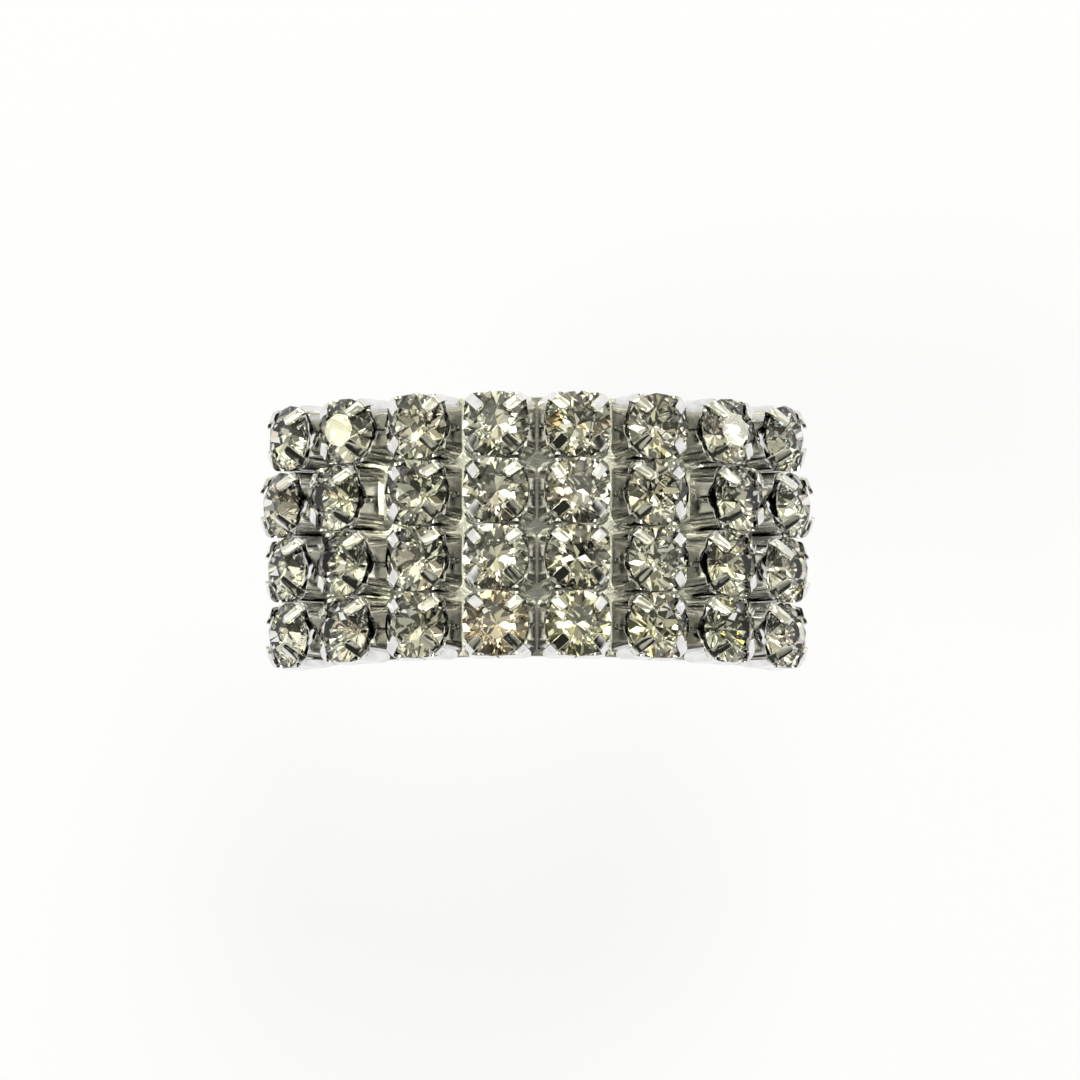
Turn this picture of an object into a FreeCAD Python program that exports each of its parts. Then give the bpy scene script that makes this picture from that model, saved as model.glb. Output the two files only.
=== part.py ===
"""Rhinestone hair clip: an arched plate set with claw-cupped crystals, and a pinch-release clasp under it.

The clip lies face up, as on a table: the crystals face +Z, the arch runs left to right along X, and the
columns of four run along Y. It rests on the plate's two ends, which are cut level. The origin is on the
table, below the middle of the arch. All lengths are millimetres and all angles are degrees, measured round
the arch from straight up, positive to the right.
"""
import FreeCAD
import Part
import math
import os

Vector = FreeCAD.Vector
UP = Vector(0, 0, 1)
RIGHT = Vector(1, 0, 0)
ALONG = Vector(0, 1, 0)
HERE = Vector(0, 0, 0)
OVERSHOOT = 1.0             # how far a cutting tool runs past what it cuts

# Crystal rows and columns
column_count = 8
row_count = 4
row_pitch = 6.25            # cup to cup, across the clip
column_angle = 15.3         # cup to cup, round the arch
outer_columns = 2           # columns at each end that were set by eye
outer_slip = (0.0, 1.2, 0.3, -0.1)  # how far those sit out along the plate, top row first

# Arched plate
plate_outer_radius = 26.2
plate_thickness = 0.8
plate_half_angle = 63.8     # to the ends, on the inside face
plate_inset = 0.2           # how far its two long edges stop short of the cups
plate_corner_radius = 1.2
end_trim_angle = 4.0        # drawn past each end, then cut level

# Crystal, a round chaton with a pointed back
stone_radius = 3.1
table_radius = 1.6
star_radius = 2.3           # where the kite and star facets meet
crown_height = 1.0
girdle_height = 0.15
pavilion_depth = 2.45
lower_facet_radius = 1.1    # where the long lower facets end
facet_count = 8
stone_turn = 137.5          # each crystal is turned by this much more than the last

# Claw cup
cup_rim_half_width = 3.0
cup_foot_half_width = 3.05  # across the clip
column_gap = 0.18           # between the feet of neighbouring columns
cup_wall = 0.35
cup_floor = 0.35
cup_corner_radius = 1.2
cup_dip_half_width = 1.3    # each side's rim dips in an arc between the claws
cup_dip_depth = 0.85
cup_slit_width = 0.2        # and is slit below the dip
cup_slit_start = 0.5        # height of the slits' lower ends
culet_clearance = 0.1       # under the crystal's point
seat_clearance = 0.02       # between the crystal and the ends of the dips, which carry it
claw_width = 0.95
claw_thickness = 0.38
claw_reach = 1.75           # how near the crystal's axis the claw tips come
claw_root_height = 1.2
claw_clearance = 0.03

# Clasp: the strip that is soldered inside the arch
solder_thickness = 0.15
solder_width = 5.0
solder_half_angle = 6.0
solder_angles = (-39.0, 0.0, 30.0)
strip_thickness = 0.8
strip_width = 7.0
strip_hinge_angle = 58.0    # from the middle to the hinge end
strip_catch_angle = 54.0    # from the middle to the catch end
strip_corner_radius = 1.5

# Clasp: hinge
pin_radius = 0.6
pin_angle = 51.0
pin_depth = 1.9             # from the strip's inner face in to the pin's centre
pin_head_radius = 0.95
pin_head_height = 0.35
pin_head_rounding = 0.2
ear_thickness = 0.8
ear_tip_radius = 1.6
ear_root_angles = (43.0, 56.0)
pin_running_clearance = 0.05
ear_side_clearance = 0.1

# Clasp: swinging arm
arm_thickness = 0.8
arm_bow = 1.2               # how far its middle stands above its ends
arm_barrel_radius = 1.25
window_length = 3.2
window_width = 3.7
arm_tip_length = 1.3        # metal beyond the window
arm_corner_radius = 1.3

# Clasp: catch
catch_angle = 42.0
catch_pad_thickness = 0.6
catch_pad_half_angle = 4.4
cheek_root_gap = 0.15       # between a cheek and its sprung tab
tab_thickness = 0.5
tab_length_x = 2.4
tab_side_clearance = 0.2    # between a tab and the window's edge
cheek_drop = 0.1            # how far the cheeks reach below the pad's lower end
ledge_clearance = 0.08
ledge_reach = 0.5
wing_length = 1.5
wing_flare = 0.65
rivet_radius = 0.65
rivet_head_radius = 1.0
rivet_head_height = 0.45

# Worked out from the sizes above
pavilion_slope = pavilion_depth / stone_radius
crown_slope = crown_height / (stone_radius - table_radius)
girdle_low = cup_floor + culet_clearance + pavilion_depth
girdle_top = girdle_low + girdle_height
table_level = girdle_top + crown_height
inner_rim_half_width = cup_rim_half_width - cup_wall
seat_radius = math.hypot(inner_rim_half_width, cup_dip_half_width)
cup_rim_height = girdle_low - (stone_radius - seat_radius) * pavilion_slope - seat_clearance
cup_dip_radius = (cup_dip_half_width ** 2 + cup_dip_depth ** 2) / (2 * cup_dip_depth)
cup_half_width = max(cup_rim_half_width, cup_foot_half_width)
foot_angle = math.radians(column_angle / 2) - column_gap / 2 / plate_outer_radius
cup_foot_half_length = plate_outer_radius * math.sin(foot_angle)
plate_inner_radius = plate_outer_radius - plate_thickness
plate_half_width = (row_count - 1) / 2 * row_pitch + cup_half_width - plate_inset
arch_centre = Vector(0, 0, -plate_inner_radius * math.cos(math.radians(plate_half_angle)))
strip_outer_radius = plate_inner_radius - solder_thickness
strip_inner_radius = strip_outer_radius - strip_thickness
arm_half_width = strip_width / 2 - ear_thickness - ear_side_clearance
tab_mid = window_width / 2 - tab_side_clearance - tab_thickness / 2


def around(centre, radius, angle, across=0.0):
    """The point at a distance from a centre line along Y and an angle from straight up."""
    turn = math.radians(angle)
    return centre + Vector(radius * math.sin(turn), across, radius * math.cos(turn))


pin_centre = around(arch_centre, strip_inner_radius - pin_depth, -pin_angle)
catch_top = around(arch_centre, strip_inner_radius, catch_angle)
pad_inner_radius = strip_inner_radius - catch_pad_thickness
pad_low_end = around(arch_centre, pad_inner_radius, catch_angle + catch_pad_half_angle)
root_level = pad_low_end.z - cheek_drop - cheek_root_gap
arm_chord = catch_top.x - pin_centre.x
arm_radius = arm_chord ** 2 / (8 * arm_bow) + arm_bow / 2
arm_centre = Vector((pin_centre.x + catch_top.x) / 2, 0, pin_centre.z + arm_bow - arm_radius)


def ring_sector(centre, outer, inner, start, end, half_width):
    """A curved strip between two radii and two angles about a centre line along Y."""
    middle = (start + end) / 2
    corners = [around(centre, radius, angle, -half_width) for radius, angle in
               ((outer, start), (outer, middle), (outer, end), (inner, end), (inner, middle), (inner, start))]
    edges = [
        Part.Arc(*corners[:3]).toShape(),
        Part.LineSegment(corners[2], corners[3]).toShape(),
        Part.Arc(*corners[3:]).toShape(),
        Part.LineSegment(corners[5], corners[0]).toShape(),
    ]
    return Part.Face(Part.Wire(edges)).extrude(ALONG * 2 * half_width)


def round_corners(strip, radius, is_at_end):
    """Rounds a strip's corners: its straight edges through the thickness that lie at the end."""
    def is_corner(edge):
        first, last = edge.Vertexes[0].Point, edge.Vertexes[-1].Point
        return (isinstance(edge.Curve, Part.Line) and abs(first.y - last.y) < 1e-6
                and is_at_end(first) and is_at_end(last))
    return strip.makeFillet(radius, [edge for edge in strip.Edges if is_corner(edge)])


def at_angle(centre, angle):
    """A test of whether a point lies at an angle about a centre line."""
    def is_there(point):
        return abs(math.degrees(math.atan2(point.x - centre.x, point.z - centre.z)) - angle) < 0.01
    return is_there


def bent_strip(path, thickness):
    """The outline, as plane points, of a strip of even thickness along a path of mitred straight runs."""
    sides = ([], [])
    for index, point in enumerate(path):
        before = path[index - 1] if index else None
        after = path[index + 1] if index + 1 < len(path) else None
        runs = [(b[0] - a[0], b[1] - a[1]) for a, b in ((before, point), (point, after)) if a and b]
        normals = [(-dy / math.hypot(dx, dy), dx / math.hypot(dx, dy)) for dx, dy in runs]
        mean = [sum(n[k] for n in normals) / len(normals) for k in (0, 1)]
        stretch = thickness / 2 / (mean[0] ** 2 + mean[1] ** 2)
        for side, sign in zip(sides, (1, -1)):
            side.append((point[0] + sign * mean[0] * stretch, point[1] + sign * mean[1] * stretch))
    return sides[0] + sides[1][::-1]


def polygon_face(points):
    return Part.Face(Part.makePolygon(points + [points[0]]))


# ---------------------------------------------------------------- arched plate
def make_plate():
    """The arched plate. Its ends are cut level, so that it lies on a table without rocking."""
    plate = ring_sector(arch_centre, plate_outer_radius, plate_inner_radius,
                        -plate_half_angle - end_trim_angle, plate_half_angle + end_trim_angle,
                        plate_half_width)
    reach = plate_outer_radius + OVERSHOOT
    below_table = Part.makeBox(2 * reach, 2 * (plate_half_width + OVERSHOOT), reach,
                               Vector(-reach, -plate_half_width - OVERSHOOT, -reach))
    return round_corners(plate.cut(below_table), plate_corner_radius, lambda point: abs(point.z) < 1e-6)


# ---------------------------------------------------------------- places of the cups and crystals
def setting_angle(column, row):
    """Where round the arch a cup sits. The outer columns were set by eye, so their rows slip a little."""
    place = column - (column_count - 1) / 2
    angle = place * column_angle
    if min(column, column_count - 1 - column) < outer_columns:
        slip = outer_slip[row % len(outer_slip)]
        angle += math.copysign(math.degrees(slip / plate_outer_radius), place)
    return angle


def set_on_plate(shape, column, row):
    """Carries a piece from its own frame, whose +Z is the way a crystal faces, to its place on the plate."""
    placed = shape.copy()
    placed.translate(UP * plate_outer_radius)
    placed.rotate(HERE, ALONG, setting_angle(column, row))
    placed.translate(arch_centre + ALONG * ((row_count - 1) / 2 - row) * row_pitch)
    return placed


# ---------------------------------------------------------------- claw cup
def rounded_oblong(half_length, half_width, radius, level):
    """An oblong wire with round corners, lying level, its length along X."""
    middles = [Vector(sx * (half_length - radius), sy * (half_width - radius), level)
               for sx, sy in ((1, 1), (-1, 1), (-1, -1), (1, -1))]
    edges = []
    for quarter, middle in enumerate(middles):
        turns = [math.radians(90 * quarter + part) for part in (0, 45, 90)]
        arc = [middle + Vector(math.cos(turn), math.sin(turn), 0) * radius for turn in turns]
        following = middles[(quarter + 1) % 4] + Vector(math.cos(turns[2]), math.sin(turns[2]), 0) * radius
        edges += [Part.Arc(*arc).toShape(), Part.LineSegment(arc[2], following).toShape()]
    return Part.Wire(edges)


def make_claw():
    """One claw along +X: it rises inside the cup's corner, then lies over the crystal's crown."""
    to_corner = math.sqrt(2)
    rim_corner = (cup_rim_half_width - cup_corner_radius) * to_corner + cup_corner_radius
    foot_corner = (cup_foot_half_width - cup_corner_radius) * to_corner + cup_corner_radius
    half = claw_thickness / 2
    lean = math.atan(crown_slope)
    ridge = star_radius * (1 - math.cos(math.pi / facet_count)) * crown_slope
    tip_level = (girdle_top + (stone_radius - claw_reach) * crown_slope + ridge
                 + claw_clearance + half / math.cos(lean))
    bend_r = rim_corner - half
    bend_level = tip_level - (bend_r - claw_reach) * crown_slope
    root_r = foot_corner + (rim_corner - foot_corner) * claw_root_height / cup_rim_height - half
    path = [(root_r, claw_root_height), (bend_r, bend_level), (claw_reach, tip_level)]
    outline = bent_strip(path, claw_thickness)
    face = polygon_face([Vector(r, -claw_width / 2, level) for r, level in outline])
    return face.extrude(ALONG * claw_width)


def make_cup():
    """A stamped cup: a round-cornered box, spreading at its foot until the columns all but touch, dipped and
    slit at each side, with a claw at each corner."""
    below = plate_outer_radius * (1 - math.cos(foot_angle))
    outer_foot = rounded_oblong(cup_foot_half_length, cup_foot_half_width, cup_corner_radius, -below)
    outer_rim = rounded_oblong(cup_rim_half_width, cup_rim_half_width, cup_corner_radius, cup_rim_height)
    outside = Part.makeLoft([outer_foot, outer_rim], True, True)
    inner_corner = cup_corner_radius - cup_wall
    inner_foot = rounded_oblong(cup_foot_half_length - cup_wall, cup_foot_half_width - cup_wall, inner_corner,
                                cup_floor)
    inner_rim = rounded_oblong(inner_rim_half_width, inner_rim_half_width, inner_corner, cup_rim_height)
    inside = Part.makeLoft([inner_foot, inner_rim], True, True)
    cup = outside.cut(inside)
    reach = max(cup_half_width, cup_foot_half_length) + OVERSHOOT
    for turn in (0, 90):
        dip = Part.makeCylinder(cup_dip_radius, 2 * reach,
                                Vector(-reach, 0, cup_rim_height - cup_dip_depth + cup_dip_radius), RIGHT)
        slit = Part.makeBox(2 * reach, cup_slit_width, cup_rim_height + OVERSHOOT,
                            Vector(-reach, -cup_slit_width / 2, cup_slit_start))
        for cutter in (dip, slit):
            cutter.rotate(HERE, UP, turn)
            cup = cup.cut(cutter)
    for corner in range(4):
        claw = make_claw()
        claw.rotate(HERE, UP, 45 + 90 * corner)
        cup = cup.fuse(claw.cut(inside))
    plate_side = Part.makeCylinder(plate_outer_radius, 4 * cup_half_width,
                                   Vector(0, -2 * cup_half_width, -plate_outer_radius), ALONG)
    return cup.cut(plate_side).removeSplitter()


# ---------------------------------------------------------------- crystal
def ring_of_points(radius, level, count, offset=0.0):
    step = 2 * math.pi / count
    return [Vector(radius * math.cos(step * (i + offset)), radius * math.sin(step * (i + offset)), level)
            for i in range(count)]


def make_crystal():
    """A brilliant-cut crystal: table, stars, kites, upper halves, girdle, lower halves and mains."""
    count = facet_count
    half_step = math.cos(math.pi / count)
    table = ring_of_points(table_radius, table_level, count)
    star_level = table_level - crown_slope * (star_radius * half_step - table_radius)
    stars = ring_of_points(star_radius, star_level, count, 0.5)
    upper = ring_of_points(stone_radius, girdle_top, 2 * count)
    lower = ring_of_points(stone_radius, girdle_low, 2 * count)
    point = Vector(0, 0, girdle_low - pavilion_depth)
    waist_level = point.z + lower_facet_radius * half_step * pavilion_slope
    waist = ring_of_points(lower_facet_radius, waist_level, count, 0.5)
    faces = [table]
    for i in range(count):
        after, before = (i + 1) % count, i - 1
        even, odd, following = 2 * i, 2 * i + 1, (2 * i + 2) % (2 * count)
        faces += [
            [table[i], table[after], stars[i]],
            [table[i], stars[before], upper[even], stars[i]],
            [stars[i], upper[even], upper[odd]],
            [stars[i], upper[odd], upper[following]],
            [upper[even], lower[even], lower[odd], upper[odd]],
            [upper[odd], lower[odd], lower[following], upper[following]],
            [point, waist[before], lower[even], waist[i]],
            [waist[i], lower[even], lower[odd]],
            [waist[i], lower[odd], lower[following]],
        ]
    return Part.makeSolid(Part.makeShell([polygon_face(list(points)) for points in faces]))


# ---------------------------------------------------------------- clasp strip with its hinge ears
def make_solder():
    """Three thin solder pads that hold the strip inside the arch."""
    return [ring_sector(arch_centre, plate_inner_radius, strip_outer_radius, angle - solder_half_angle,
                        angle + solder_half_angle, solder_width / 2) for angle in solder_angles]


def make_ear():
    """One hinge ear with its lower side at y = 0: a web from the strip to a round tip about the pin."""
    first, last = (around(arch_centre, (strip_inner_radius + strip_outer_radius) / 2, -angle)
                   for angle in ear_root_angles)
    across = around(HERE, ear_tip_radius, 90 - pin_angle)
    web = polygon_face([pin_centre + across, first, last, pin_centre - across]).extrude(ALONG * ear_thickness)
    tip = Part.makeCylinder(ear_tip_radius, ear_thickness, pin_centre, ALONG)
    bore = Part.makeCylinder(pin_radius, ear_thickness + 2 * OVERSHOOT, pin_centre - ALONG * OVERSHOOT, ALONG)
    return web.fuse(tip).cut(bore)


def radial_cylinder(radius, outer, inner, angle):
    """A round bar along the arch's radius at y = 0, from one distance to another."""
    start, end = around(arch_centre, outer, angle), around(arch_centre, inner, angle)
    return Part.makeCylinder(radius, outer - inner, start, end - start)


def make_strip():
    strip = ring_sector(arch_centre, strip_outer_radius, strip_inner_radius,
                        -strip_hinge_angle, strip_catch_angle, strip_width / 2)
    strip = round_corners(strip, strip_corner_radius, at_angle(arch_centre, strip_catch_angle))
    for low in (-strip_width / 2, strip_width / 2 - ear_thickness):
        ear = make_ear()
        ear.translate(ALONG * low)
        strip = strip.fuse(ear)
    rivet_hole = radial_cylinder(rivet_radius, strip_outer_radius + OVERSHOOT, strip_inner_radius - OVERSHOOT,
                                 catch_angle)
    return strip.cut(rivet_hole).removeSplitter()


def make_pin():
    """The hinge pin, with a head peened against each ear."""
    foot = pin_centre - ALONG * strip_width / 2
    pin = Part.makeCylinder(pin_radius, strip_width, foot, ALONG)
    near_head = Part.makeCylinder(pin_head_radius, pin_head_height, foot - ALONG * pin_head_height, ALONG)
    far_head = Part.makeCylinder(pin_head_radius, pin_head_height, foot + ALONG * strip_width, ALONG)
    pin = pin.fuse([near_head, far_head]).removeSplitter()
    head_top = strip_width / 2 + pin_head_height
    rims = [edge for edge in pin.Edges if all(abs(abs(end.Y) - head_top) < 1e-6 for end in edge.Vertexes)]
    return pin.makeFillet(pin_head_rounding, rims)


# ---------------------------------------------------------------- swinging arm
def make_arm():
    """The bowed arm: a barrel on the pin, a long strip, and a window at its tip for the catch."""
    half = arm_thickness / 2
    tip_x = catch_top.x + window_length / 2 + arm_tip_length
    start, end = (math.degrees(math.asin((x - arm_centre.x) / arm_radius)) for x in (pin_centre.x, tip_x))
    strip = ring_sector(arm_centre, arm_radius + half, arm_radius - half, start, end, arm_half_width)
    strip = round_corners(strip, arm_corner_radius, at_angle(arm_centre, end))
    foot = pin_centre - ALONG * arm_half_width
    barrel = Part.makeCylinder(arm_barrel_radius, 2 * arm_half_width, foot, ALONG)
    bore = Part.makeCylinder(pin_radius + pin_running_clearance, 2 * (arm_half_width + OVERSHOOT),
                             foot - ALONG * OVERSHOOT, ALONG)
    corner = Vector(catch_top.x - window_length / 2, -window_width / 2, pin_centre.z - half - OVERSHOOT)
    window = Part.makeBox(window_length, window_width, 2 * (half + OVERSHOOT), corner)
    return strip.fuse(barrel).cut(bore).cut(window).removeSplitter()


# ---------------------------------------------------------------- catch
def make_catch_bracket():
    """The bracket riveted under the strip: a curved pad and two cheeks that carry the sprung tabs."""
    reach = tab_mid + tab_thickness / 2
    bracket = ring_sector(arch_centre, strip_inner_radius, pad_inner_radius,
                          catch_angle - catch_pad_half_angle, catch_angle + catch_pad_half_angle, reach)
    sides = [catch_top.x - tab_length_x / 2, catch_top.x + tab_length_x / 2]
    middle_radius = (strip_inner_radius + pad_inner_radius) / 2
    tops = [arch_centre.z + math.sqrt(middle_radius ** 2 - x ** 2) for x in sides]
    cheek_end = root_level + cheek_root_gap
    corners = [(sides[0], tops[0]), (sides[1], tops[1]), (sides[1], cheek_end), (sides[0], cheek_end)]
    for low in (-reach, reach - tab_thickness):
        cheek = polygon_face([Vector(x, low, z) for x, z in corners]).extrude(ALONG * tab_thickness)
        bracket = bracket.fuse(cheek)
    hole = radial_cylinder(rivet_radius, strip_outer_radius, pad_inner_radius - OVERSHOOT, catch_angle)
    return bracket.cut(hole).removeSplitter()


def make_rivet():
    """The rivet through strip and bracket: flush above, headed below, both ends following the curve."""
    head_end = pad_inner_radius - rivet_head_height
    foot = arch_centre - ALONG * strip_width / 2
    within_strip = Part.makeCylinder(strip_outer_radius, strip_width, foot, ALONG)
    within_pad = Part.makeCylinder(pad_inner_radius, strip_width, foot, ALONG)
    shank = radial_cylinder(rivet_radius, strip_outer_radius + OVERSHOOT, head_end, catch_angle)
    head = radial_cylinder(rivet_head_radius, pad_inner_radius + OVERSHOOT, head_end, catch_angle)
    return shank.common(within_strip).fuse(head.common(within_pad)).removeSplitter()


def make_tab(side):
    """One sprung tab, at +Y (+1) or -Y (-1): it passes the window, hooks under the arm and flares out."""
    outer_x = catch_top.x + tab_length_x / 2 - arm_centre.x
    arm_under = arm_centre.z + math.sqrt((arm_radius - arm_thickness / 2) ** 2 - outer_x ** 2)
    ledge_level = arm_under - ledge_clearance - tab_thickness / 2
    path = [(root_level, tab_mid), (ledge_level, tab_mid), (ledge_level, tab_mid + ledge_reach),
            (ledge_level - wing_length, tab_mid + ledge_reach + wing_flare)]
    outline = bent_strip(path, tab_thickness)
    face = polygon_face([Vector(catch_top.x - tab_length_x / 2, side * y, z) for z, y in outline])
    return face.extrude(RIGHT * tab_length_x)


# ---------------------------------------------------------------- the whole clip
def make_all():
    """Every node by name, as a list of its solids."""
    nodes = {"arch_plate": [make_plate()]}
    cup, crystal = make_cup(), make_crystal()
    for column in range(column_count):
        nodes[f"cups_column_{column + 1}"] = [set_on_plate(cup, column, row) for row in range(row_count)]
        for row in range(row_count):
            turned = crystal.copy()
            turned.rotate(HERE, UP, stone_turn * (column * row_count + row))
            nodes[f"crystal_column_{column + 1}_row_{row + 1}"] = [set_on_plate(turned, column, row)]
    nodes["solder_pads"] = make_solder()
    nodes["clasp_strip"] = [make_strip()]
    nodes["hinge_pin"] = [make_pin()]
    nodes["clasp_arm"] = [make_arm()]
    nodes["catch_bracket"] = [make_catch_bracket()]
    nodes["catch_rivet"] = [make_rivet()]
    nodes["pinch_tab_upper"] = [make_tab(1)]
    nodes["pinch_tab_lower"] = [make_tab(-1)]
    return nodes


def main():
    os.makedirs("parts", exist_ok=True)
    nodes = make_all()
    for name, solids in nodes.items():
        shape = Part.makeCompound(solids) if len(solids) > 1 else solids[0]
        shape.exportStep(f"parts/{name}.step")
        volume = sum(solid.Volume for solid in shape.Solids)
        print(f"{name}: {len(shape.Solids)} solids, {volume:.2f} mm3, valid {shape.isValid()}")
    box = Part.makeCompound([solid for solids in nodes.values() for solid in solids]).BoundBox
    print("overall from", box.XMin, box.YMin, box.ZMin, "to", box.XMax, box.YMax, box.ZMax)
    print("hinge pin centre", pin_centre, "tab root", catch_top.x, tab_mid, root_level)
    print("arch centre", arch_centre, "strip inner radius", strip_inner_radius)


main()
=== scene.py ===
import math
import bmesh
import bpy
import numpy as np
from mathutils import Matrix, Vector


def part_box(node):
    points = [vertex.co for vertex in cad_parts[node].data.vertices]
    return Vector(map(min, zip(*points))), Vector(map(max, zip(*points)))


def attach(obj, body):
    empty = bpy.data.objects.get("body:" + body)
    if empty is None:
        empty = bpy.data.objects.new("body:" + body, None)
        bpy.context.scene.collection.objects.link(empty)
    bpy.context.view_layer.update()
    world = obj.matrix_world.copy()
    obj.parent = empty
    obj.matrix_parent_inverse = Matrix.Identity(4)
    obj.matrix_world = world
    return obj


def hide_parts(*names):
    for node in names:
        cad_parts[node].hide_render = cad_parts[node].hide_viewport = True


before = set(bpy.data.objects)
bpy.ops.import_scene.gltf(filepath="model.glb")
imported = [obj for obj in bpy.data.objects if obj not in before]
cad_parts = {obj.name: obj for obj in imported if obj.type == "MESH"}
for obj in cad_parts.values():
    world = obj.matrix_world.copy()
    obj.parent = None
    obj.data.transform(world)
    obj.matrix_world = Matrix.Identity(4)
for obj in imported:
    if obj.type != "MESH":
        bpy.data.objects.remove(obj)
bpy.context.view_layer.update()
millimetre = 0.001


# ---------------------------------------------------------------- the table, the room and the view
# The clip is held crystals up, a little above a pale table, so that its arm can swing open. Silver and cut
# glass show what stands round them, so the room has windows and dark furniture. Plain surfaces get soft,
# even light.
table_half = 1.5
table_level = -0.036
table_grey = 0.9
table_glow = 0.75           # how much of the table shines by itself where it is seen, straight or mirrored
room_cells = 5.0            # patches of the room from side to side
room_contrast = 0.92        # how much a patch's random tone counts
room_depth = (-0.55, 0.5)   # how far a direction leans ahead, at the room's near side and at its far side
depth_shade = (-0.52, 0.20)  # what those two sides add to a patch's tone
horizon = (0.08, 0.20)      # how far it leans up where the white round the table begins to fade, and ends
horizon_white = (1.0, 1.0, 0.97)
room_tones = (              # a patch's tone, and the light that it gives
    (0.00, (0.026, 0.026, 0.020)),
    (0.10, (0.078, 0.077, 0.061)),
    (0.20, (0.270, 0.267, 0.210)),
    (0.44, (0.640, 0.632, 0.500)),
    (0.64, (1.000, 0.987, 0.790)),
    (0.80, (1.300, 1.285, 1.020)),
    (0.94, (2.000, 1.975, 1.540)),
)
windows = (                 # which way a bright window stands, how many degrees it spans, and its light
    ((-0.934, 0.133, 0.331), 6.5, (15.0, 14.7, 10.2)),
    ((0.939, 0.208, 0.275), 6.0, (12.0, 11.9, 10.0)),
    ((0.30, 0.62, 0.72), 3.5, (8.0, 8.0, 7.0)),
    ((-0.42, 0.30, 0.85), 3.0, (8.0, 7.9, 6.6)),
    ((-0.36, 0.10, 0.93), 7.0, (2.6, 2.56, 2.20)),
    ((0.36, 0.10, 0.93), 7.0, (2.6, 2.56, 2.20)),
)
onlooker = ((0.0, 0.03, 1.0), 9.0, (0.20, 0.20, 0.18))  # someone overhead, given as the windows are
window_core = 0.85          # the share of that span that has the full light
even_light = (0.62, 0.62, 0.61)
lamps = (                   # name, place, side, power in watts and colour
    ("window_lamp", (0.15, 0.55, 0.75), 0.45, 4.0, (1.0, 0.99, 0.95)),
    ("room_lamp", (-0.5, -0.25, 0.7), 0.25, 1.6, (1.0, 0.96, 0.86)),
)
view_aim = (0.00029, -0.00114, 0.0135)
view_distance = 0.74
view_elevation = 83.7
view_lens = 263


def lay_table():
    """A flat square far wider than the clip. It can't be seen from below."""
    corners = np.array([(-1, -1), (1, -1), (1, 1), (-1, 1)]) * table_half
    mesh = bpy.data.meshes.new("table")
    mesh.from_pydata([(x, y, table_level) for x, y in corners], [], [(0, 1, 2, 3)])
    table = bpy.data.objects.new("table", mesh)
    bpy.context.collection.objects.link(table)
    material = bpy.data.materials.new("white_table")
    material.use_nodes = True
    nodes, links = material.node_tree.nodes, material.node_tree.links
    nodes.clear()
    paper = nodes.new("ShaderNodeBsdfDiffuse")
    paper.inputs["Color"].default_value = (table_grey, table_grey, table_grey, 1)
    glow = nodes.new("ShaderNodeEmission")
    glow.inputs["Color"].default_value = (1, 1, 1, 1)
    path = nodes.new("ShaderNodeLightPath")
    seen = nodes.new("ShaderNodeMath")
    seen.operation = "MAXIMUM"
    links.new(path.outputs["Is Camera Ray"], seen.inputs[0])
    links.new(path.outputs["Is Glossy Ray"], seen.inputs[1])
    seen_through = nodes.new("ShaderNodeMath")
    seen_through.operation = "MAXIMUM"
    links.new(seen.outputs[0], seen_through.inputs[0])
    links.new(path.outputs["Is Transmission Ray"], seen_through.inputs[1])
    share = nodes.new("ShaderNodeMath")
    share.operation = "MULTIPLY"
    share.inputs[1].default_value = table_glow
    links.new(seen_through.outputs[0], share.inputs[0])
    lit = nodes.new("ShaderNodeMixShader")
    links.new(share.outputs[0], lit.inputs["Fac"])
    links.new(paper.outputs[0], lit.inputs[1])
    links.new(glow.outputs[0], lit.inputs[2])
    clear = nodes.new("ShaderNodeBsdfTransparent")
    side = nodes.new("ShaderNodeNewGeometry")
    one_sided = nodes.new("ShaderNodeMixShader")
    links.new(side.outputs["Backfacing"], one_sided.inputs["Fac"])
    links.new(lit.outputs[0], one_sided.inputs[1])
    links.new(clear.outputs[0], one_sided.inputs[2])
    out = nodes.new("ShaderNodeOutputMaterial")
    links.new(one_sided.outputs[0], out.inputs["Surface"])
    table.data.materials.append(material)


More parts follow.
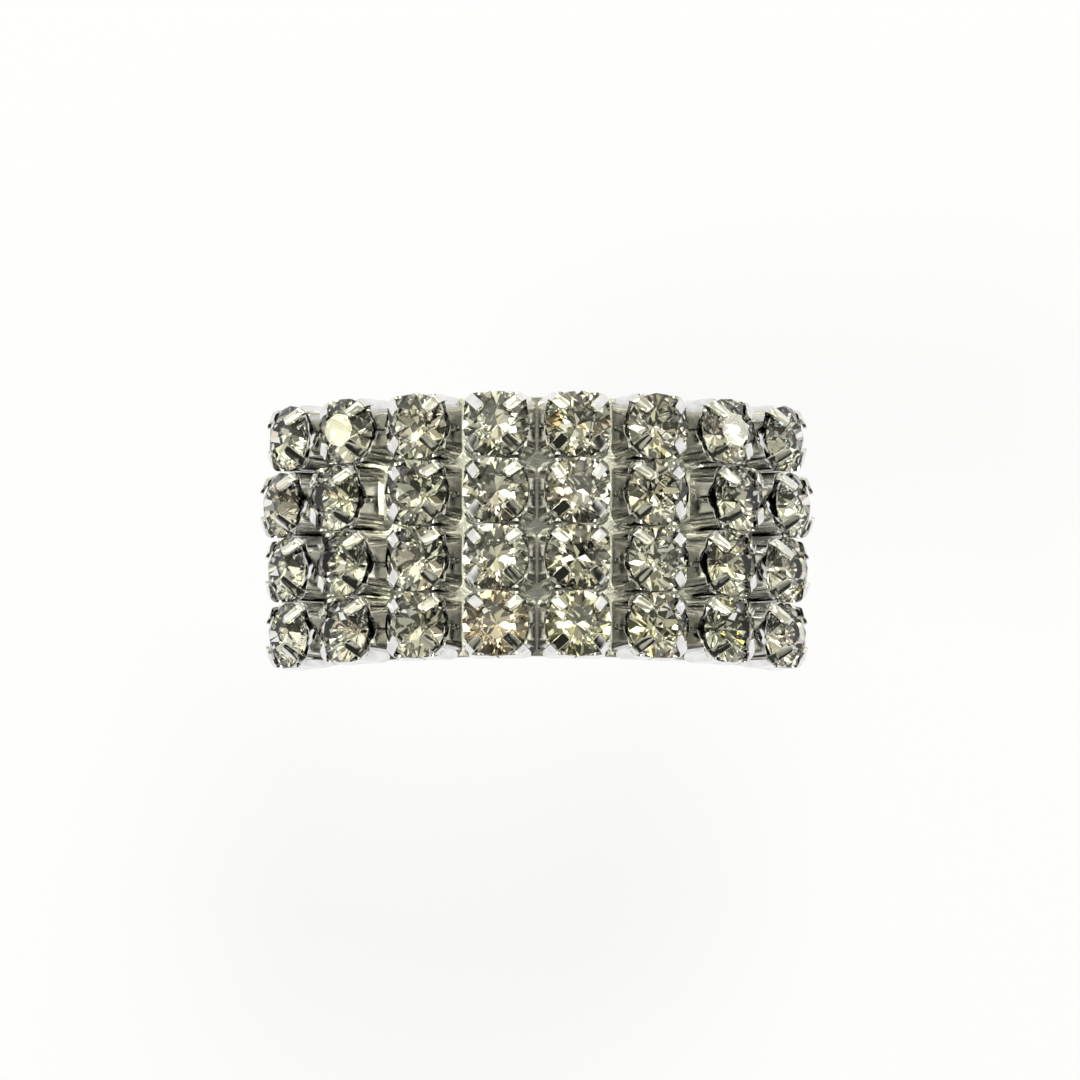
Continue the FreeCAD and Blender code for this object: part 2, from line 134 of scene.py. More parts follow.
def furnish_room():
    """The room by direction: patches of random tone, light behind the clip and dark in front of it, with
    bright windows and the dark shape of someone overhead. It is white round the table, up to a low horizon.
    Plain surfaces get one even light from it."""
    world = bpy.data.worlds.new("room")
    bpy.context.scene.world = world
    world.use_nodes = True
    nodes, links = world.node_tree.nodes, world.node_tree.links
    nodes.clear()

    def step(value, low, high, out_low=0.0, out_high=1.0):
        """A value's place between two levels, kept between two results."""
        node = nodes.new("ShaderNodeMapRange")
        levels = {"From Min": low, "From Max": high, "To Min": out_low, "To Max": out_high}
        for name, level in levels.items():
            node.inputs[name].default_value = level
        links.new(value, node.inputs["Value"])
        return node.outputs["Result"]

    def blend(share, first, second):
        """A mix of two colours, each given as a constant or as a socket."""
        node = nodes.new("ShaderNodeMix")
        node.data_type = "RGBA"
        links.new(share, node.inputs["Factor"])
        for name, colour in (("A", first), ("B", second)):
            if isinstance(colour, tuple):
                node.inputs[name].default_value = (*colour, 1)
            else:
                links.new(colour, node.inputs[name])
        return node.outputs["Result"]

    direction = nodes.new("ShaderNodeTexCoord")
    axes = nodes.new("ShaderNodeSeparateXYZ")
    links.new(direction.outputs["Generated"], axes.inputs[0])
    patches = nodes.new("ShaderNodeTexVoronoi")
    patches.inputs["Scale"].default_value = room_cells
    links.new(direction.outputs["Generated"], patches.inputs["Vector"])
    pick = nodes.new("ShaderNodeSeparateColor")
    links.new(patches.outputs["Color"], pick.inputs["Color"])
    shade = nodes.new("ShaderNodeMath")
    shade.operation = "MULTIPLY_ADD"
    shade.inputs[1].default_value = room_contrast
    links.new(pick.outputs[0], shade.inputs[0])
    links.new(step(axes.outputs["Y"], *room_depth, *depth_shade), shade.inputs[2])
    tones = nodes.new("ShaderNodeValToRGB")
    ramp = tones.color_ramp
    for place, tone in room_tones[1:-1]:
        ramp.elements.new(place).color = (*tone, 1)
    for end in (0, -1):
        ramp.elements[end].position = room_tones[end][0]
        ramp.elements[end].color = (*room_tones[end][1], 1)
    links.new(shade.outputs[0], tones.inputs["Fac"])
    seen = tones.outputs["Color"]
    for centre, width, light in (onlooker, *windows):
        facing = nodes.new("ShaderNodeVectorMath")
        facing.operation = "DOT_PRODUCT"
        facing.inputs[1].default_value = Vector(centre).normalized()
        links.new(direction.outputs["Generated"], facing.inputs[0])
        edge = math.cos(math.radians(width))
        core = math.cos(math.radians(width * window_core))
        seen = blend(step(facing.outputs["Value"], edge, core), seen, light)
    seen = blend(step(axes.outputs["Z"], *horizon), horizon_white, seen)
    path = nodes.new("ShaderNodeLightPath")
    mirrored = nodes.new("ShaderNodeMath")
    mirrored.operation = "MAXIMUM"
    links.new(path.outputs["Is Glossy Ray"], mirrored.inputs[0])
    links.new(path.outputs["Is Transmission Ray"], mirrored.inputs[1])
    seen = blend(mirrored.outputs[0], even_light, seen)
    seen = blend(path.outputs["Is Camera Ray"], seen, (1.0, 1.0, 1.0))
    glow = nodes.new("ShaderNodeBackground")
    links.new(seen, glow.inputs["Color"])
    out = nodes.new("ShaderNodeOutputWorld")
    links.new(glow.outputs[0], out.inputs["Surface"])


def hang_lamp(name, place, size, power, colour):
    """A square lamp that faces the clip. It lights plain surfaces, and glass and silver don't show it."""
    lamp = bpy.data.lights.new(name, "AREA")
    lamp.size = size
    lamp.energy = power
    lamp.color = colour
    holder = bpy.data.objects.new(name, lamp)
    bpy.context.collection.objects.link(holder)
    holder.location = place
    holder.rotation_euler = (-Vector(place)).to_track_quat("-Z", "Y").to_euler()
    holder.visible_camera = holder.visible_glossy = holder.visible_transmission = False


def set_view():
    """A long lens almost straight above, leaning towards the clip's lower long edge."""
    elevation = math.radians(view_elevation)
    back = Vector((0, -math.cos(elevation), math.sin(elevation)))
    data = bpy.data.cameras.new("view")
    data.sensor_width = 36
    data.lens = view_lens
    data.clip_start, data.clip_end = 0.01, 20
    camera = bpy.data.objects.new("view", data)
    bpy.context.collection.objects.link(camera)
    camera.location = Vector(view_aim) + back * view_distance
    camera.rotation_euler = (-back).to_track_quat("-Z", "Y").to_euler()
    bpy.context.scene.camera = camera


lay_table()
furnish_room()
for lamp_values in lamps:
    hang_lamp(*lamp_values)
set_view()
bpy.context.scene.view_settings.view_transform = "Standard"


# ---------------------------------------------------------------- arched plate
# The sheet that everything is set on: silver-plated steel, bent to the arch. Its plating is a little dulled
# and grainy.
arch_radius = 26.2 * millimetre
arch_sheet = 0.8 * millimetre
arch_centre_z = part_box("arch_plate")[1].z - arch_radius
plate_half_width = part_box("arch_plate")[1].y
plate_corner = 1.2 * millimetre
steps_round_arch = 96
steps_across_plate = 12
steps_near_end = 12
end_share = 0.04            # the last part of each half of the arch, where points stand closer together
cloud_span = (0.38, 0.64)   # between these the clouds' noise runs from clean to dull


def make_piece(name, points, faces, material, slot, body="clip"):
    """Puts points and faces, as arrays or lists, into a new piece that rides on a body."""
    mesh = bpy.data.meshes.new(name)
    mesh.from_pydata(np.asarray(points).tolist(), [], [list(face) for face in faces])
    mesh.materials.append(material)
    mesh.update()
    piece = bpy.data.objects.new(name, mesh)
    bpy.context.collection.objects.link(piece)
    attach(piece, body)
    return piece


def smooth_by_angle(mesh, degrees=35):
    """Shades a mesh smooth, except across edges sharper than an angle."""
    mesh.polygons.foreach_set("use_smooth", np.ones(len(mesh.polygons), bool))
    mesh.set_sharp_from_angle(angle=math.radians(degrees))


def soften_edges(piece, width, degrees=35):
    """Rounds a piece's sharp edges, as tumbling and plating do."""
    bevel = piece.modifiers.new("soft_edges", "BEVEL")
    bevel.width = width
    bevel.segments = 2
    bevel.limit_method = "ANGLE"
    bevel.angle_limit = math.radians(degrees)
    bevel.use_clamp_overlap = False
    bevel.harden_normals = True


def grid_faces(rows, columns, first=0, flip=False):
    """The quads of a grid of points numbered row by row, as an array of four corners each."""
    number = first + np.arange(rows * columns).reshape(rows, columns)
    corners = [number[:-1, :-1], number[:-1, 1:], number[1:, 1:], number[1:, :-1]]
    quads = np.stack(corners, -1).reshape(-1, 4)
    return quads[:, ::-1] if flip else quads


def round_the_arch(radius, angle, across):
    """Points at a distance from the arch's centre line, an angle from straight up, and a place across it."""
    angle, across = np.broadcast_arrays(angle, across)
    return np.stack([radius * np.sin(angle), across, arch_centre_z + radius * np.cos(angle)], -1)


def add_plating_group():
    """Plated metal's wear: soft clouds that dull it, and fine scratches along one way as a height."""
    group = bpy.data.node_groups.new("plating_wear", "ShaderNodeTree")
    for name in ("Cloud Scale", "Scratch Scale", "Stretch"):
        group.interface.new_socket(name=name, in_out="INPUT", socket_type="NodeSocketFloat")
    for name in ("Cloud", "Scratch"):
        group.interface.new_socket(name=name, in_out="OUTPUT", socket_type="NodeSocketFloat")
    nodes, links = group.nodes, group.links
    given = nodes.new("NodeGroupInput")
    result = nodes.new("NodeGroupOutput")
    place = nodes.new("ShaderNodeTexCoord")
    cloud = nodes.new("ShaderNodeTexNoise")
    cloud.inputs["Detail"].default_value = 4.0
    links.new(place.outputs["Object"], cloud.inputs["Vector"])
    links.new(given.outputs["Cloud Scale"], cloud.inputs["Scale"])
    links.new(cloud.outputs["Fac"], result.inputs["Cloud"])
    stretch = nodes.new("ShaderNodeCombineXYZ")
    stretch.inputs["Y"].default_value = 1.0
    stretch.inputs["Z"].default_value = 1.0
    links.new(given.outputs["Stretch"], stretch.inputs["X"])
    drawn = nodes.new("ShaderNodeVectorMath")
    drawn.operation = "MULTIPLY"
    links.new(place.outputs["Object"], drawn.inputs[0])
    links.new(stretch.outputs[0], drawn.inputs[1])
    scratch = nodes.new("ShaderNodeTexNoise")
    scratch.inputs["Detail"].default_value = 3.0
    links.new(drawn.outputs[0], scratch.inputs["Vector"])
    links.new(given.outputs["Scratch Scale"], scratch.inputs["Scale"])
    links.new(scratch.outputs["Fac"], result.inputs["Scratch"])
    return group


plating_wear = add_plating_group()


def plated_metal(name, bright, dull, smooth, rough, scratch_depth, cloud_scale, scratch_scale, stretch):
    """A metal whose colour and roughness drift between a bright and a dulled value, with scratches as bump.
    Stretch is how fast the scratches change along X, as a share of how fast they change the other ways."""
    material = bpy.data.materials.new(name)
    material.use_nodes = True
    nodes, links = material.node_tree.nodes, material.node_tree.links
    shader = nodes["Principled BSDF"]
    shader.inputs["Metallic"].default_value = 1.0
    wear = nodes.new("ShaderNodeGroup")
    wear.node_tree = plating_wear
    wear.inputs["Cloud Scale"].default_value = cloud_scale
    wear.inputs["Scratch Scale"].default_value = scratch_scale
    wear.inputs["Stretch"].default_value = stretch
    spread = nodes.new("ShaderNodeMapRange")
    spread.inputs["From Min"].default_value = cloud_span[0]
    spread.inputs["From Max"].default_value = cloud_span[1]
    links.new(wear.outputs["Cloud"], spread.inputs["Value"])
    colour = nodes.new("ShaderNodeMix")
    colour.data_type = "RGBA"
    colour.inputs["A"].default_value = (*bright, 1)
    colour.inputs["B"].default_value = (*dull, 1)
    links.new(spread.outputs["Result"], colour.inputs["Factor"])
    links.new(colour.outputs["Result"], shader.inputs["Base Color"])
    roughness = nodes.new("ShaderNodeMapRange")
    roughness.inputs["To Min"].default_value = smooth
    roughness.inputs["To Max"].default_value = rough
    links.new(spread.outputs["Result"], roughness.inputs["Value"])
    links.new(roughness.outputs["Result"], shader.inputs["Roughness"])
    bump = nodes.new("ShaderNodeBump")
    bump.inputs["Distance"].default_value = scratch_depth
    links.new(wear.outputs["Scratch"], bump.inputs["Height"])
    links.new(bump.outputs["Normal"], shader.inputs["Normal"])
    return material


def arched_plate():
    """Two sheets of points, outside and inside, joined round their rim. Each sheet runs round the arch from
    end to end and across it from edge to edge. Near the ends it narrows along a quarter circle at each
    corner."""
    near_end = end_share * np.linspace(0, 1, steps_near_end + 1) ** 1.5
    along = np.unique(np.concatenate([np.linspace(-1, 1, steps_round_arch + 1), 1 - near_end, near_end - 1]))
    across = np.linspace(-1, 1, steps_across_plate + 1)
    sheets = []
    for radius in (arch_radius, arch_radius - arch_sheet):
        end = math.acos(-arch_centre_z / radius)
        from_end = (1 - np.abs(along)) * end * radius
        short = np.clip(plate_corner - from_end, 0, plate_corner)
        half = plate_half_width - plate_corner + np.sqrt(plate_corner ** 2 - short ** 2)
        sheets.append(round_the_arch(radius, (along * end)[:, None], across * half[:, None]))
    rows, columns = len(along), len(across)
    count = rows * columns
    number = np.arange(count).reshape(rows, columns)
    rim = np.concatenate([number[:, 0], number[-1, 1:], number[-2::-1, -1], number[0, -2:0:-1]])
    after = np.roll(rim, -1)
    edge = np.stack([rim, rim + count, after + count, after], -1)
    faces = np.concatenate([grid_faces(rows, columns, flip=True), grid_faces(rows, columns, count), edge])
    return np.concatenate([sheet.reshape(-1, 3) for sheet in sheets]), faces


plate_metal = plated_metal("dulled_silver_plate", (0.84, 0.84, 0.80), (0.72, 0.72, 0.68), smooth=0.10,
                           rough=0.24, scratch_depth=0.015 * millimetre, cloud_scale=420.0,
                           scratch_scale=3500.0, stretch=0.6)
plate = make_piece("arch_plate_sheet", *arched_plate(), plate_metal, "back_plate")
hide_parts("arch_plate")
smooth_by_angle(plate.data)
soften_edges(plate, 0.12 * millimetre)


# ---------------------------------------------------------------- places of the settings
# Cups and crystals stand in columns of four across the arch. The outer columns were set by eye, so some of
# them sit out of line.
columns, rows = 8, 4
column_angle = math.radians(15.3)
row_pitch = 6.25 * millimetre
outer_columns = 2           # at each end
outer_slip = np.array([0.0, 1.2, 0.3, -0.1]) * millimetre


def setting(column, row):
    """A setting's foot on the plate and its three axes: sideways, across the clip, and outwards."""
    place = column - (columns - 1) / 2
    angle = place * column_angle
    if min(column, columns - 1 - column) < outer_columns:
        angle += math.copysign(outer_slip[row] / arch_radius, place)
    across = ((rows - 1) / 2 - row) * row_pitch
    foot = round_the_arch(arch_radius, angle, across)
    sine, cosine = math.sin(angle), math.cos(angle)
    return foot, np.array([[cosine, 0, -sine], [0, 1, 0], [sine, 0, cosine]])


def stand(points, column, row):
    """Carries points from a setting's own frame to its place."""
    foot, axes = setting(column, row)
    return foot + points @ axes


# ---------------------------------------------------------------- crystals
# Machine-cut lead glass, brilliant cut, with a silver foil fired on the pointed back. The foil is seen
# through the glass, folded many times by the facets. Its tone differs from facet to facet, some of them
# aged to a warm grey.
stone_radius = 3.1 * millimetre
table_radius = 1.6 * millimetre
star_radius = 2.3 * millimetre
culet_level = 0.45 * millimetre
girdle_low = 2.9 * millimetre
girdle_top = 3.05 * millimetre
table_height = 4.05 * millimetre
waist_radius = 1.1 * millimetre
crown_slope = (table_height - girdle_top) / (stone_radius - table_radius)
folds = 8                   # the cut repeats itself this many times round
glass_index = 1.56
smudge_span = (0.45, 0.75)  # between these the smudges' noise runs from clean to smudged
smudge_roughness = 0.04
foil_roughness = 0.03
golden_turn = math.radians(137.5)  # from one crystal to the next, so that no two stand alike
stray_tilt = math.radians(1.8)
cutter = np.random.default_rng(23)
tilts = np.random.default_rng(2339).normal(size=(columns, rows, 2)) * stray_tilt


def ring(radius, level, count, offset=0.0):
    """Points evenly round a circle at one level, the first turned by a share of a step."""
    turn = (np.arange(count) + offset) * 2 * math.pi / count
    return np.stack([radius * np.cos(turn), radius * np.sin(turn), np.full(count, level)], -1)


def brilliant():
    """A brilliant cut from five rings of points and one more: table, stars, upper and lower girdle, waist,
    and the pointed back. The stars lie on the slope from the table to the girdle, and the waist on the slope
    of the back. Gives the points, the crown's faces, which are the table and then six in each fold, and the
    back's faces."""
    back_slope = (girdle_low - culet_level) / stone_radius
    half_step = math.cos(math.pi / folds)
    star_level = table_height - crown_slope * (star_radius * half_step - table_radius)
    waist_level = culet_level + waist_radius * half_step * back_slope
    points = np.concatenate([
        ring(table_radius, table_height, folds),
        ring(star_radius, star_level, folds, 0.5),
        ring(stone_radius, girdle_top, 2 * folds),
        ring(stone_radius, girdle_low, 2 * folds),
        ring(waist_radius, waist_level, folds, 0.5),
        [(0, 0, culet_level)],
    ])
    table = np.arange(folds)
    star = folds + np.arange(folds)
    upper = 2 * folds + np.arange(2 * folds)
    lower = 4 * folds + np.arange(2 * folds)
    waist = 6 * folds + np.arange(folds)
    point = 7 * folds
    crown = [list(table)]
    back = []
    for i in range(folds):
        j, even, odd, following = (i + 1) % folds, 2 * i, 2 * i + 1, (2 * i + 2) % (2 * folds)
        crown += [
            [table[i], star[i], table[j]],
            [table[i], star[i - 1], upper[even], star[i]],
            [star[i], upper[even], upper[odd]],
            [star[i], upper[odd], upper[following]],
            [upper[even], lower[even], lower[odd], upper[odd]],
            [upper[odd], lower[odd], lower[following], upper[following]],
        ]
        back += [
            [point, waist[i], lower[even], waist[i - 1]],
            [waist[i], lower[odd], lower[even]],
            [waist[i], lower[following], lower[odd]],
        ]
    return points, crown, back


def cut_glass():
    """Clear glass with a trace of smudging from handling, tinted by the piece's own colour attribute. On a
    few crown facets that attribute holds a painted colour glint, which stands for fire."""
    material = bpy.data.materials.new("cut_glass")
    material.use_nodes = True
    nodes, links = material.node_tree.nodes, material.node_tree.links
    shader = nodes["Principled BSDF"]
    tone = nodes.new("ShaderNodeAttribute")
    tone.attribute_name = "facet_tone"
    links.new(tone.outputs["Color"], shader.inputs["Base Color"])
    shader.inputs["Transmission Weight"].default_value = 1.0
    shader.inputs["IOR"].default_value = glass_index
    place = nodes.new("ShaderNodeTexCoord")
    smudge = nodes.new("ShaderNodeTexNoise")
    smudge.inputs["Scale"].default_value = 700.0
    smudge.inputs["Detail"].default_value = 4.0
    links.new(place.outputs["Object"], smudge.inputs["Vector"])
    film = nodes.new("ShaderNodeMapRange")
    film.inputs["From Min"].default_value = smudge_span[0]
    film.inputs["From Max"].default_value = smudge_span[1]
    film.inputs["To Max"].default_value = smudge_roughness
    links.new(smudge.outputs["Fac"], film.inputs["Value"])
    links.new(film.outputs["Result"], shader.inputs["Roughness"])
    return material


def foil_back():
    """Fired silver foil, tinted facet by facet from the piece's own colour attribute."""
    material = bpy.data.materials.new("foil_back")
    material.use_nodes = True
    nodes, links = material.node_tree.nodes, material.node_tree.links
    shader = nodes["Principled BSDF"]
    shader.inputs["Metallic"].default_value = 1.0
    shader.inputs["Roughness"].default_value = foil_roughness
    tone = nodes.new("ShaderNodeAttribute")
    tone.attribute_name = "facet_tone"
    links.new(tone.outputs["Color"], shader.inputs["Base Color"])
    return material


clear_glass = (0.99, 0.99, 0.97)
foil_tones = np.array([(0.98, 0.98, 0.96), (0.93, 0.93, 0.90), (0.84, 0.83, 0.79), (0.98, 0.95, 0.80),
                       (0.62, 0.61, 0.56), (0.86, 0.78, 0.74), (0.34, 0.33, 0.30)])
foil_share = np.array([0.38, 0.24, 0.12, 0.08, 0.08, 0.06, 0.04])  # how often each of those tones comes
painted_fire_glints = {                    # painted glints of fire: column and row, which way its coloured facet lies in degrees, and the painted colour
    (8, 1): (-25, (0.10, 0.38, 1.00)),
    (7, 4): (95, (1.00, 0.95, 0.12)),
    (6, 4): (67, (1.00, 0.95, 0.30)),
    (8, 3): (-70, (1.00, 0.95, 0.35)),
    (5, 1): (160, (1.00, 0.55, 0.20)),
    (3, 1): (-156, (0.75, 0.60, 0.98)),
}
painted_fire_tints = {(4, 4): (1.0, 0.93, 0.85), (5, 4): (1.0, 1.0, 0.90)}  # painted warm fire: column and row, and a tint over that crystal's whole foil
glass, foil = cut_glass(), foil_back()
stone_points, crown_faces, back_faces = brilliant()
all_faces = crown_faces + back_faces
is_back = np.arange(len(all_faces)) >= len(crown_faces)
kites = 2 + 6 * np.arange(folds)  # the second face in each fold of the crown, after the table
kite_middles = np.array([stone_points[all_faces[kite]].mean(0) for kite in kites])
for column in range(columns):
    for row in range(rows):
        turn = golden_turn * (column * rows + row)
        tilt_x, tilt_y = tilts[column, row]
        sine, cosine = math.sin(turn), math.cos(turn)
        spin = np.array([[cosine, sine, 0], [-sine, cosine, 0], [0, 0, 1]])
        tip = np.array([[1, 0, -tilt_y], [0, 1, tilt_x], [tilt_y, -tilt_x, 1]])
        middle = np.array([0, 0, girdle_low])
        points = stand(((stone_points @ spin) - middle) @ tip + middle, column, row)
        crystal = make_piece(f"crystal_{column + 1}_{row + 1}", points, all_faces, glass, "crystal")
        crystal.data.materials.append(foil)
        crystal.data.polygons.foreach_set("material_index", is_back.astype(int))
        picks = cutter.choice(len(foil_tones), len(all_faces), p=foil_share)
        tones = np.where(is_back[:, None], foil_tones[picks], clear_glass)
        name = (column + 1, row + 1)
        # The whole foil of these two crystals is tinted warm. This is painted fire, a coloured star of light,
        # not aged foil.
        if name in painted_fire_tints:
            tones[is_back] *= painted_fire_tints[name]
        # The kite facet nearest the given way is painted in a fire colour: a painted coloured glint, not the
        # glass's own colour.
        if name in painted_fire_glints:
            way, colour = painted_fire_glints[name]
            across, up = (kite_middles @ spin)[:, :2].T
            off = np.degrees(np.arctan2(up, across)) - way
            tones[kites[np.abs((off + 180) % 360 - 180).argmin()]] = colour
        colours = np.column_stack([tones, np.ones(len(tones))]).repeat([len(face) for face in all_faces], 0)
        attribute = crystal.data.color_attributes.new("facet_tone", "FLOAT_COLOR", "CORNER")
        attribute.data.foreach_set("color", colours.ravel())
        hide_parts(f"crystal_column_{column + 1}_row_{row + 1}")


# ---------------------------------------------------------------- claw cups
# Each crystal sits in a cup stamped from thin brass and silver plated: a round-cornered box whose sides dip
# and are slit. The claw at each corner was folded over the crystal by hand, so no two lie quite alike.
rim_half = 3.0 * millimetre
foot_half = np.array([3.4, 3.05]) * millimetre
cup_corner = 1.2 * millimetre
cup_wall = 0.35 * millimetre
rim_level = 2.76 * millimetre
dip_half = 1.3 * millimetre
dip_depth = 0.85 * millimetre
slit_half = 0.1 * millimetre
slit_level = 0.5 * millimetre
dip_places = (0.3, 0.5, 0.7, 0.85, 1.0)  # points beside the slit, as shares of the dip's half width
corner_steps = 5
floor_shares = (0.05, 0.88)  # the floor's two rings, as shares of the foot
foot_lift = 0.45            # how far up its own thickness the foot's middle surface lies
wall_shares = (0.0, 0.35, 0.7, 1.0)  # the wall's rings, from the slits' lower end to the rim
claw_half = 0.475 * millimetre
claw_root = (3.59 * millimetre, 1.2 * millimetre)
claw_tip = (1.75 * millimetre, 4.32 * millimetre)
claw_bend_reach = 3.55 * millimetre
claw_bend = (claw_bend_reach, claw_tip[1] - (claw_bend_reach - claw_tip[0]) * crown_slope)
claw_crown = 0.07 * millimetre  # how much higher a claw's middle stands than its edges
claw_blunt = 0.30 * millimetre  # the length over which its tip rounds off
tip_rounding = 0.85         # 1 would close the tip's outline to a point
bend_start, bend_end = 0.42, 0.30  # where its bend begins and ends, as shares of the runs on either side
steps_round_bend = 6
steps_to_tip = 7
steps_across_claw = 4
hand_stray = (0.12 * millimetre, 0.07, 0.03 * millimetre, 0.10)  # of a claw's reach, lean, rise and twist
hand = np.random.default_rng(7)


def round_square(corner):
    """A round-cornered square that reaches 1 to each side, as four alike quarters that each run from the slit
    in one side to the slit in the next: a straight, a quarter circle and a straight. Also gives each point's
    distance from its side's middle."""
    flat = 1 - corner
    straight = np.array([slit_half / dip_half, *dip_places]) * dip_half / rim_half
    turn = np.linspace(0, math.pi / 2, corner_steps + 1)
    arc = np.stack([flat + corner * np.cos(turn), flat + corner * np.sin(turn)], -1)
    up = np.stack([np.ones(len(straight)), straight], -1)
    quarter = np.concatenate([up, arc, up[::-1, ::-1]])
    aside = np.concatenate([straight, np.ones(len(turn)), straight[::-1]])
    quarter_turn = np.array([[0, 1], [-1, 0]])
    turns = [np.linalg.matrix_power(quarter_turn, count) for count in range(4)]
    return np.concatenate([quarter @ matrix for matrix in turns]), np.tile(aside, 4)


def cup_sheet():
    """The cup's middle surface: rings of points from the floor's centre out to the foot and up the wall. A
    wall point's height is a share of the rim's height there. The rim dips along a circle's arc beside each
    slit."""
    foot, rim = foot_half - cup_wall / 2, rim_half - cup_wall / 2
    outline, aside = round_square((cup_corner - cup_wall / 2) / rim)
    dip_radius = (dip_half ** 2 + dip_depth ** 2) / (2 * dip_depth)
    dip = dip_depth - dip_radius + np.sqrt(dip_radius ** 2 - np.minimum(aside * rim, dip_half) ** 2)
    rim_here = rim_level - np.clip(dip, 0, None)
    at_foot = outline * foot
    lying = np.sqrt(arch_radius ** 2 - at_foot[:, 0] ** 2) - arch_radius + cup_wall * foot_lift
    floor_level = np.full(len(outline), cup_wall / 2)
    rings = [np.column_stack([at_foot * share, floor_level]) for share in floor_shares]
    rings.append(np.column_stack([at_foot, lying]))
    for share in wall_shares:
        height = slit_level + (rim_here - slit_level) * share
        spread = foot + (rim - foot) * height[:, None] / rim_level
        rings.append(np.column_stack([outline * spread, height]))
    grid = np.stack(rings)
    count = len(outline)
    number = np.arange(grid.shape[0] * count).reshape(grid.shape[:2])
    after = np.roll(number, -1, 1)
    quads = np.stack([number[:-1], after[:-1], after[1:], number[1:]], -1)
    is_slit = (np.arange(count) + 1) % (count // 4) == 0
    keep = np.ones(quads.shape[:2], bool)
    keep[len(floor_shares) + 1:, is_slit] = False
    return grid.reshape(-1, 3), [*quads[keep].tolist(), number[0, ::-1].tolist()]


def claw_strip(reach, lean, rise, twist):
    """A claw's middle surface: a path up the corner, round a bend and in over the crystal, widened by a width
    that rounds off at the tip. The bend is a quadratic curve between points short of and past the corner.
    Across its width it falls away by a square law, and it twists a little more the nearer it comes to the
    tip."""
    root, bend, tip = (np.array(point) for point in (claw_root, claw_bend, claw_tip))
    tip = tip + (tip - bend) / np.linalg.norm(tip - bend) * reach + np.array([0, rise])
    start = bend + (root - bend) * bend_start
    end = bend + (tip - bend) * bend_end
    share = np.linspace(0, 1, steps_round_bend + 1)[:, None]
    curve = start * (1 - share) ** 2 + bend * 2 * share * (1 - share) + end * share ** 2
    run = np.linspace(0, 1, steps_to_tip + 1)[1:, None] ** 0.75
    path = np.concatenate([[root], curve, end + (tip - end) * run])
    left = np.linalg.norm(path - path[-1], axis=1)
    into_tip = np.clip(claw_blunt - left, 0, None) / claw_blunt
    width = claw_half * np.sqrt(1 - (into_tip * tip_rounding) ** 2)
    across = np.linspace(-1, 1, steps_across_claw + 1)
    sideways = across[None, :] * width[:, None] + (path[:, :1] - path[0, 0]) * lean
    forward = np.gradient(path, axis=0)
    inward = np.stack([-forward[:, 1], forward[:, 0]], -1) / np.linalg.norm(forward, axis=1)[:, None]
    folded = np.linspace(0, 1, len(path))[:, None]
    sink = (claw_crown * (across ** 2 - 1) + across * width[:, None] * twist) * folded
    out, up = path[:, :1] + inward[:, :1] * sink, path[:, 1:] + inward[:, 1:] * sink
    return np.stack([out, sideways, up], -1).reshape(-1, 3), grid_faces(len(path), len(across))


def claw_cup():
    """One cup with its four claws, each folded a little differently."""
    points, faces = cup_sheet()
    parts, faces = [points], list(faces)
    for corner in range(4):
        claw, claw_faces = claw_strip(*hand.normal(size=4) * hand_stray)
        turn = math.pi / 4 + corner * math.pi / 2
        sine, cosine = math.sin(turn), math.cos(turn)
        faces += (claw_faces + sum(map(len, parts))).tolist()
        parts.append(claw @ np.array([[cosine, sine, 0], [-sine, cosine, 0], [0, 0, 1]]))
    return np.concatenate(parts), faces


cup_silver = plated_metal("bright_silver_plate", (0.85, 0.845, 0.835), (0.73, 0.725, 0.715), smooth=0.05,
                          rough=0.15, scratch_depth=0.003 * millimetre, cloud_scale=900.0,
                          scratch_scale=4000.0, stretch=0.5)
for column in range(columns):
    parts, faces = [], []
    for row in range(rows):
        points, cup_faces = claw_cup()
        first = sum(map(len, parts))
        faces += [[corner + first for corner in face] for face in cup_faces]
        parts.append(stand(points, column, row))
    cups = make_piece(f"claw_cups_{column + 1}", np.concatenate(parts), faces, cup_silver, "cup_silver")
    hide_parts(f"cups_column_{column + 1}")
    smooth_by_angle(cups.data, 40)
    wall = cups.modifiers.new("sheet", "SOLIDIFY")
    wall.thickness = cup_wall
    wall.offset = 0.0
    wall.use_even_offset = True
    soften_edges(cups, 0.06 * millimetre, degrees=50)


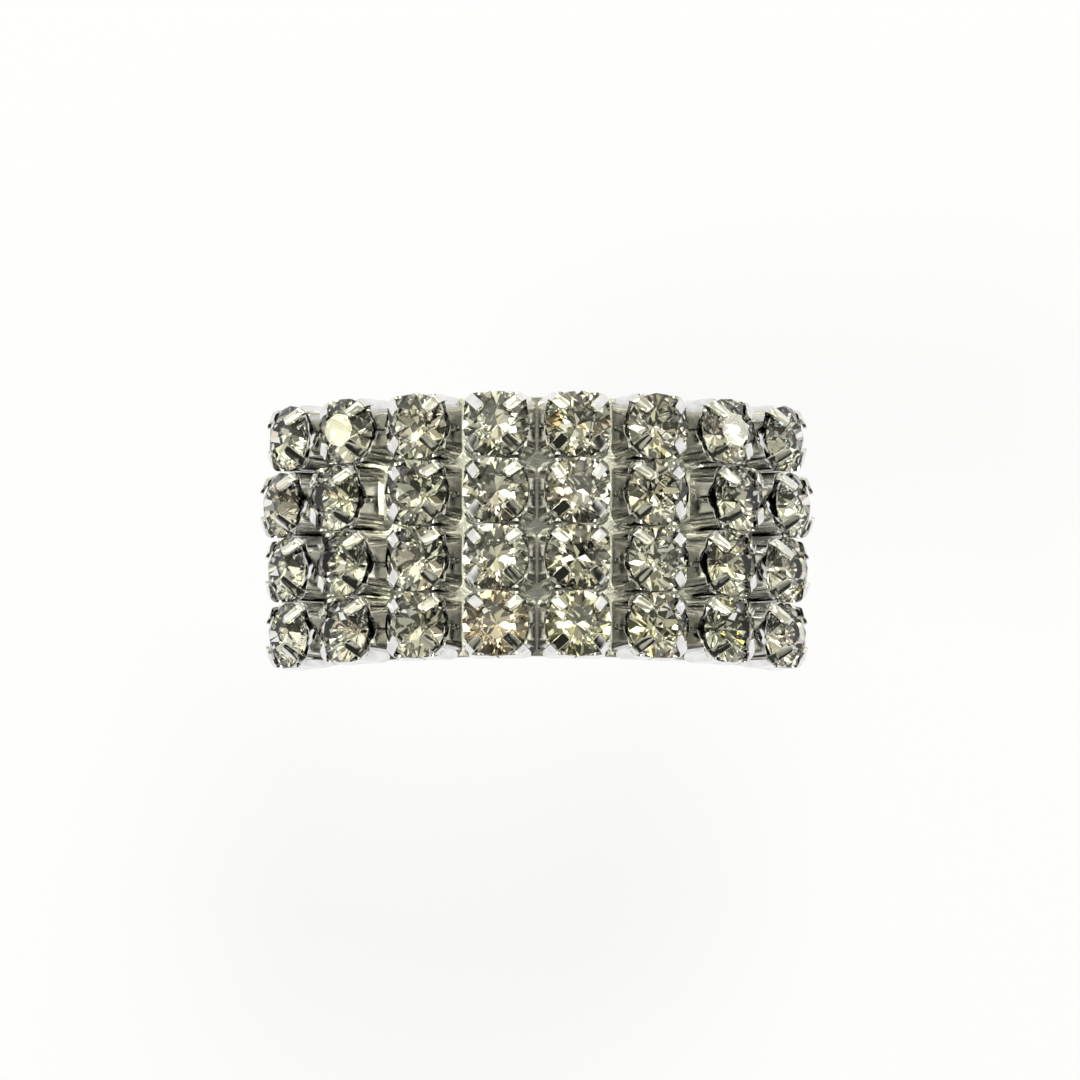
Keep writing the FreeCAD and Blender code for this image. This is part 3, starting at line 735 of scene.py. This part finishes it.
# ---------------------------------------------------------------- clasp
# The clasp is spring steel, nickel plated: a strip with two hinge ears, a bowed arm on a peened pin, and a
# riveted catch with two sprung tabs. All but the pin and the solder get the soft edges of stamped metal.
clasp_steel = plated_metal("nickel_plated_steel", (0.58, 0.575, 0.56), (0.45, 0.44, 0.43), smooth=0.20,
                           rough=0.36, scratch_depth=0.02 * millimetre, cloud_scale=260.0,
                           scratch_scale=3000.0, stretch=0.06)
pin_steel = plated_metal("plain_steel", (0.44, 0.44, 0.44), (0.32, 0.31, 0.30), smooth=0.24, rough=0.42,
                         scratch_depth=0.03 * millimetre, cloud_scale=600.0, scratch_scale=3000.0,
                         stretch=1.0)
solder_metal = plated_metal("soft_solder", (0.58, 0.58, 0.57), (0.40, 0.40, 0.39), smooth=0.34, rough=0.55,
                            scratch_depth=0.08 * millimetre, cloud_scale=700.0, scratch_scale=1400.0,
                            stretch=1.0)


def soft_copy(node, body, material, slot, width):
    """A piece with a frame node's shape, its loose triangles joined into flat faces and its edges rounded."""
    shape = bmesh.new()
    shape.from_mesh(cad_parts[node].data)
    bmesh.ops.remove_doubles(shape, verts=shape.verts, dist=0.001 * millimetre)
    bmesh.ops.dissolve_limit(shape, angle_limit=math.radians(1.0), verts=shape.verts, edges=shape.edges)
    points = [vertex.co[:] for vertex in shape.verts]
    shape.verts.index_update()
    faces = [[vertex.index for vertex in face.verts] for face in shape.faces]
    shape.free()
    piece = make_piece(f"{node}_soft", points, faces, material, slot, body)
    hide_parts(node)
    smooth_by_angle(piece.data, 30)
    soften_edges(piece, width, degrees=40)


for node, body, metal, slot, width in (  # the last is the softened edge's width in millimetres
        ("clasp_strip", "clip", clasp_steel, "clasp_steel", 0.12),
        ("catch_bracket", "clip", clasp_steel, "clasp_steel", 0.06),
        ("clasp_arm", "arm", clasp_steel, "clasp_steel", 0.12),
        ("pinch_tab_upper", "tab_upper", clasp_steel, "clasp_steel", 0.07),
        ("pinch_tab_lower", "tab_lower", clasp_steel, "clasp_steel", 0.07),
        ("catch_rivet", "clip", pin_steel, "pin_steel", 0.08)):
    soft_copy(node, body, metal, slot, width * millimetre)

for node, metal in (("hinge_pin", pin_steel), ("solder_pads", solder_metal)):
    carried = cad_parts[node].data
    carried.materials.clear()
    carried.materials.append(metal)
